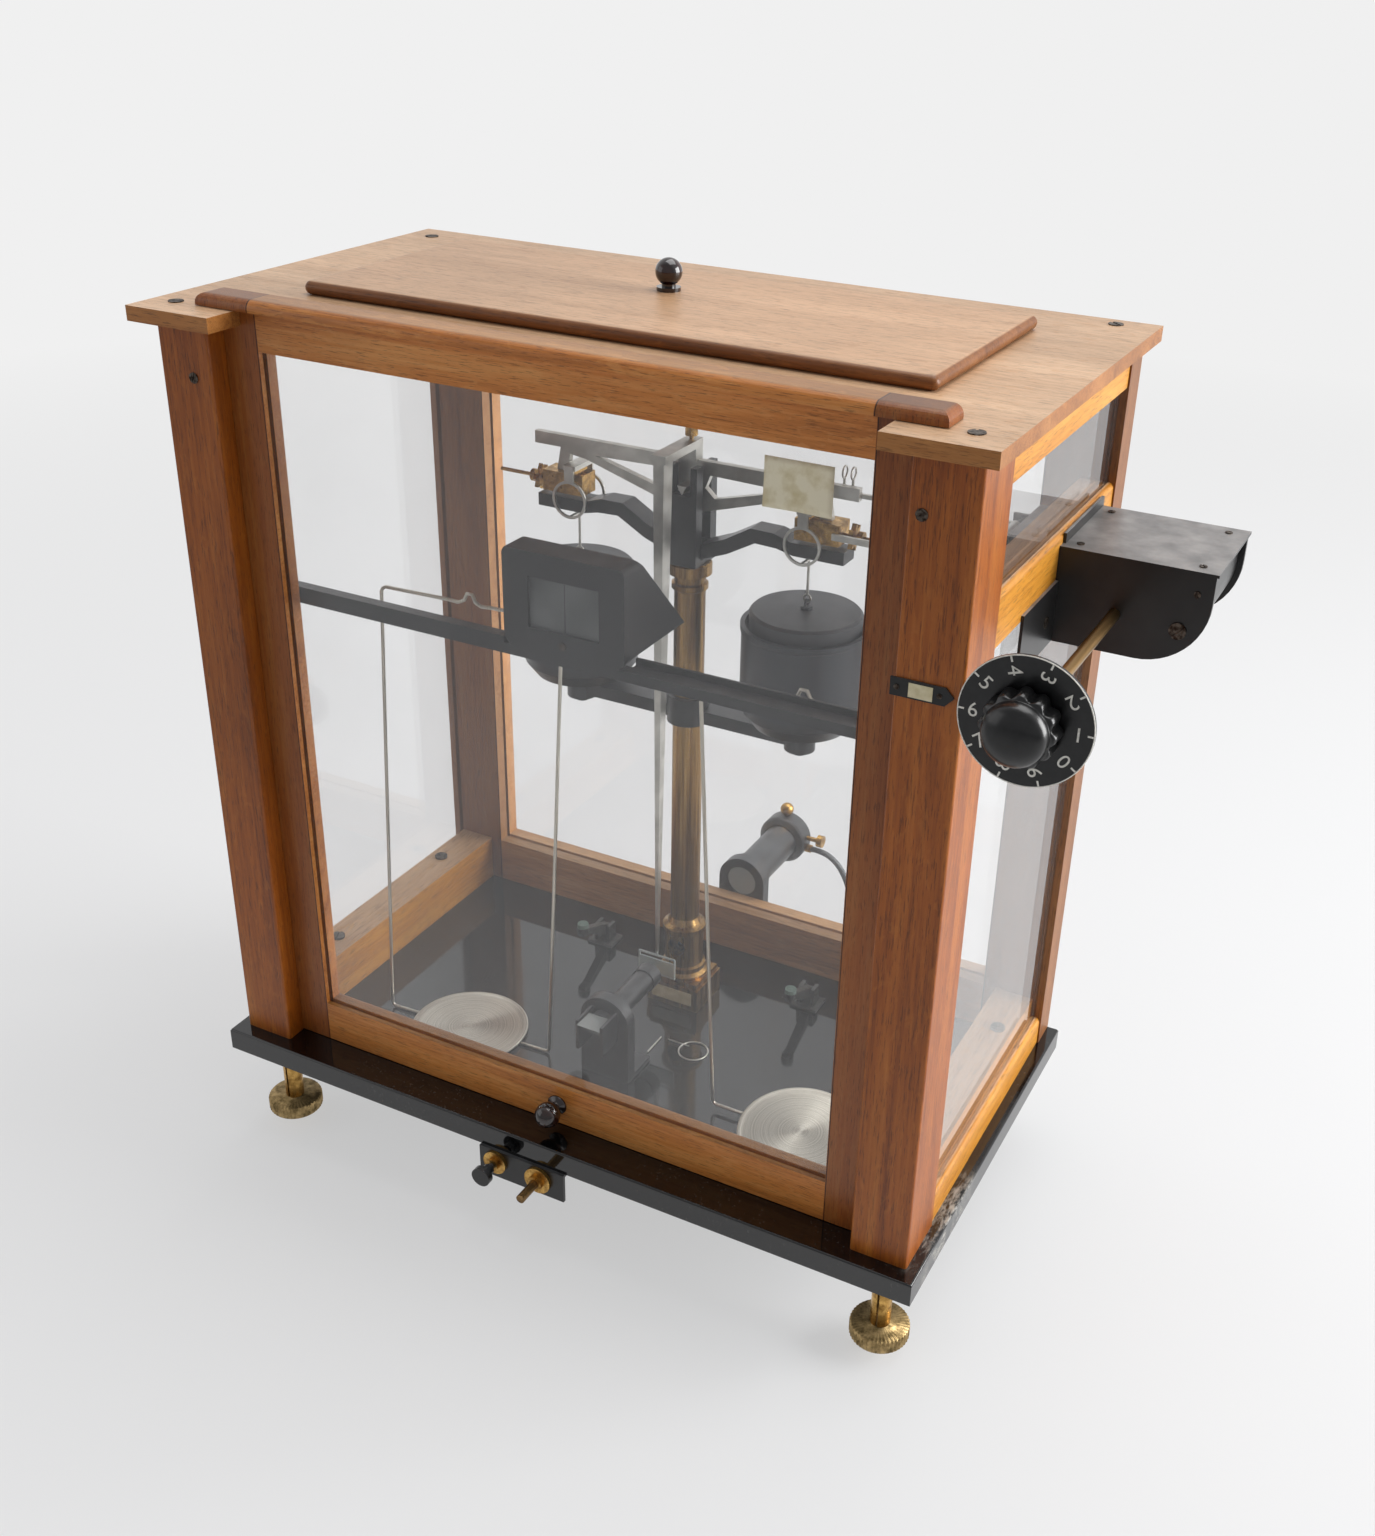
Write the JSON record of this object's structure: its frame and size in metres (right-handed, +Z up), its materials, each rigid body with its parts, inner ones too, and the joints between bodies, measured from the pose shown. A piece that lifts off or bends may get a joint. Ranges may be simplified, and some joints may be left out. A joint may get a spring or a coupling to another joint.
{
  "type": "air-damped analytical beam balance",
  "caption": "Glazed wooden case on a levelled slab holding a two-pan knife-edge beam with air dampers, projected scale and a dial for internal weights.",
  "frame": {"origin": "under the middle of the balance's overall width and depth, on the table that its feet stand on", "axes": "+X to the balance's right as seen from its sash, +Y from the sash to the rear, +Z up"},
  "size_m": [0.52, 0.391, 0.5388],
  "materials": {
    "black_gloss_slab": "polished black",
    "oak_frame": "varnished red-brown oak",
    "oak_sash": "varnished golden oak",
    "oak_top": "faded varnished oak",
    "glass": "clear",
    "black_metal": "satin black enamel",
    "screen": "matt ground",
    "aged_brass": "aged, streaked",
    "brass": "turned, lacquered",
    "damper_grey": "satin blue-grey",
    "vessel_grey": "matt grey",
    "nickel": "matt nickel plate",
    "knob_dark": "polished dark brown",
    "dial_black": "moulded black",
    "bronze": "dark bronzed",
    "felt_grey": "grey-brown lacquer",
    "cord_grey": "grey flex",
    "optic_glass": "polished"
  },
  "bodies": {
    "case": {"base_slab": "black_gloss_slab", "front_post_left": "oak_frame", "front_post_right": "oak_frame", "side_frame_left": "oak_frame", "side_frame_right": "oak_frame", "rear_frame": "oak_frame", "top_board": "oak_top", "pane_left": "glass", "pane_right": "glass", "pane_rear": "glass", "cross_bar": "black_metal", "screen_box": "black_metal", "screen_glass": "screen", "column": "aged_brass", "damper_bracket": "black_metal", "damper_pot_left": "damper_grey", "damper_pot_right": "damper_grey", "bearing_fork": "black_metal", "objective_unit": "black_metal", "optics_glass": "optic_glass", "lamp_unit": "black_metal", "lamp_terminals": "brass", "weight_housing": "black_metal", "index_plate": "black_metal", "control_plate": "black_metal", "control_flanges": "brass", "foot_bushes": "brass", "rear_foot": "bronze", "brake_brackets": "felt_grey", "loose_ring": "nickel", "lamp_lead": "cord_grey", "lead_coil": "cord_grey", "lead_plug": "dial_black"},
    "sash": {"sash_frame": "oak_sash", "sash_glass": "glass", "sash_knob": "knob_dark"},
    "lid": {"top_lid": "oak_top", "lid_knob": "knob_dark"},
    "dial": {"weight_dial": "dial_black", "dial_knob": "dial_black", "dial_shaft": "aged_brass"},
    "lifters": {"weight_lifters": "nickel"},
    "beam": {"beam_truss": "nickel", "beam_fittings": "brass", "pointer": "nickel", "graticule": "optic_glass"},
    "hanger_left": {"stirrup_left": "nickel", "vessel_left": "vessel_grey"},
    "hanger_right": {"stirrup_right": "nickel", "vessel_right": "vessel_grey"},
    "left_pan": {"pan_left": "nickel"},
    "right_pan": {"pan_right": "nickel"},
    "arrest": {"arrest_yoke": "black_metal"},
    "arrest_shaft": {"arrest_spindle": "aged_brass"},
    "brake_shaft": {"brake_spindle": "dial_black"},
    "brake_left": {"brake_lever_left": "felt_grey"},
    "brake_right": {"brake_lever_right": "felt_grey"},
    "levelling_left": {"foot_left": "bronze"},
    "levelling_right": {"foot_right": "bronze"}
  },
  "joints": [
    {"name": "sash_slide", "type": "slide", "parent": "case", "child": "sash", "axis": [0, 0, 1], "range_m": [0, 0.28]},
    {"name": "lid_lift", "type": "slide", "parent": "case", "child": "lid", "axis": [0, 0, 1], "range_m": [0, 0.06]},
    {"name": "dial_turn", "type": "hinge", "parent": "case", "child": "dial", "pos_m": [0.214, -0.14975, 0.402], "axis": [0, 1, 0], "continuous": true},
    {"name": "weight_drop", "type": "hinge", "parent": "case", "child": "lifters", "pos_m": [0.1485, 0.01725, 0.422], "axis": [0, 1, 0], "range_deg": [0, 2.5]},
    {"name": "beam_swing", "type": "hinge", "parent": "case", "child": "beam", "pos_m": [-0.0335, 0.01725, 0.412], "axis": [0, 1, 0], "range_deg": [-0.5, 0.5]},
    {"name": "hanger_left_knife", "type": "hinge", "parent": "beam", "child": "hanger_left", "pos_m": [-0.106, 0.01725, 0.413], "axis": [0, 1, 0], "range_deg": [-0.5, 0.5]},
    {"name": "hanger_right_knife", "type": "hinge", "parent": "beam", "child": "hanger_right", "pos_m": [0.039, 0.01725, 0.413], "axis": [0, 1, 0], "range_deg": [-0.5, 0.5]},
    {"name": "left_pan_slide", "type": "slide", "parent": "case", "child": "left_pan", "axis": [-1, 0, 0], "range_m": [0, 0.03]},
    {"name": "right_pan_lift", "type": "slide", "parent": "case", "child": "right_pan", "axis": [0, 0, 1], "range_m": [0, 0.06]},
    {"name": "arrest_turn", "type": "hinge", "parent": "case", "child": "arrest_shaft", "pos_m": [-0.0335, -0.15275, 0.0532], "axis": [0, 1, 0], "range_deg": [0, 90]},
    {"name": "arrest_lift", "type": "slide", "parent": "case", "child": "arrest", "axis": [0, 0, 1], "range_m": [0, 0.0012]},
    {"name": "brake_turn", "type": "hinge", "parent": "case", "child": "brake_shaft", "pos_m": [-0.0623, -0.15275, 0.0544], "axis": [0, 1, 0], "range_deg": [0, 60]},
    {"name": "brake_left_swing", "type": "hinge", "parent": "case", "child": "brake_left", "pos_m": [-0.1085, 0.04525, 0.085], "axis": [1, 0, 0], "range_deg": [0, 15]},
    {"name": "brake_right_swing", "type": "hinge", "parent": "case", "child": "brake_right", "pos_m": [0.0415, 0.04525, 0.085], "axis": [1, 0, 0], "range_deg": [0, 15]},
    {"name": "foot_left_turn", "type": "hinge", "parent": "case", "child": "levelling_left", "pos_m": [-0.235, -0.12825, 0.015], "axis": [0, 0, 1], "continuous": true},
    {"name": "foot_right_turn", "type": "hinge", "parent": "case", "child": "levelling_right", "pos_m": [0.168, -0.12825, 0.015], "axis": [0, 0, 1], "continuous": true}
  ],
  "couplings": [
    {"joint": "hanger_left_knife", "follows": "beam_swing", "ratio": -1},
    {"joint": "hanger_right_knife", "follows": "beam_swing", "ratio": -1},
    {"joint": "arrest_turn", "follows": "arrest_lift", "rad_per_m": 1308.9},
    {"joint": "brake_left_swing", "follows": "brake_turn", "ratio": 0.25},
    {"joint": "brake_right_swing", "follows": "brake_turn", "ratio": 0.25}
  ]
}
